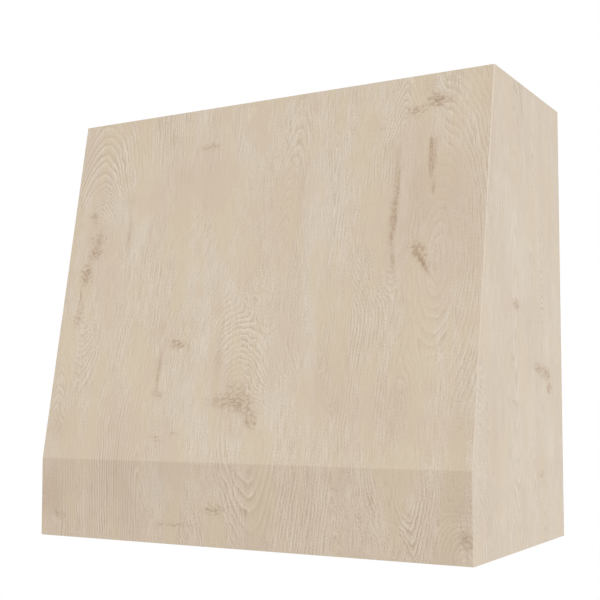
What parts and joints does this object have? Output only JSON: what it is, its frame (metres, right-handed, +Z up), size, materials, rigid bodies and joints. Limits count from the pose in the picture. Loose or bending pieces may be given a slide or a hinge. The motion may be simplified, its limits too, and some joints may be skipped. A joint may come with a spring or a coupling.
{
  "type": "range hood cover",
  "caption": "Flat-panel wooden range hood cover with a sloped front above a straight apron, open at the top and back, hung on a bevelled wall cleat.",
  "frame": {"origin": "on the wall plane, midway between the two screw holes of the wall cleat, on the cover's centre line", "axes": "+X to the right along the cover's width seen from its front, +Y back into the wall, so the sloped front faces -Y, +Z up"},
  "size_m": [0.9144, 0.495, 0.85],
  "materials": {
    "oak_veneer": "pale knotty oak veneer, matt clear lacquer",
    "oak_band": "pale oak edge veneer, matt clear lacquer",
    "shelf_plywood": "pale oak veneer on plywood, matt clear lacquer",
    "rail_plywood": "sanded birch plywood",
    "cleat_plywood": "sanded birch plywood",
    "solid_strip": "planed softwood",
    "dowel_beech": "plain beech",
    "screw_steel": "zinc-plated steel"
  },
  "bodies": {
    "wall_fixing": {"wall_cleat": "cleat_plywood"},
    "cover": {"left_side_panel": "oak_veneer", "right_side_panel": "oak_veneer", "slope_panel": "oak_veneer", "apron_panel": "oak_veneer", "apron_edge_band": "oak_band", "left_side_edge_band": "oak_band", "right_side_edge_band": "oak_band", "insert_shelf": "shelf_plywood", "front_ledger": "solid_strip", "back_ledger": "solid_strip", "left_ledger": "solid_strip", "right_ledger": "solid_strip", "back_bottom_rail": "rail_plywood", "hanging_rail": "rail_plywood", "hanging_cleat": "cleat_plywood", "top_front_stretcher": "rail_plywood", "left_slope_strip": "solid_strip", "right_slope_strip": "solid_strip", "left_apron_block": "solid_strip", "right_apron_block": "solid_strip", "crease_strip": "solid_strip", "rail_dowels": "dowel_beech", "hanging_cleat_screws": "screw_steel", "ledger_screws": "screw_steel", "shelf_screws": "screw_steel"}
  },
  "joints": [
    {"name": "cover_lift", "type": "slide", "parent": "wall_fixing", "child": "cover", "axis": [0, 0, 1], "range_m": [0, 0.025]}
  ]
}
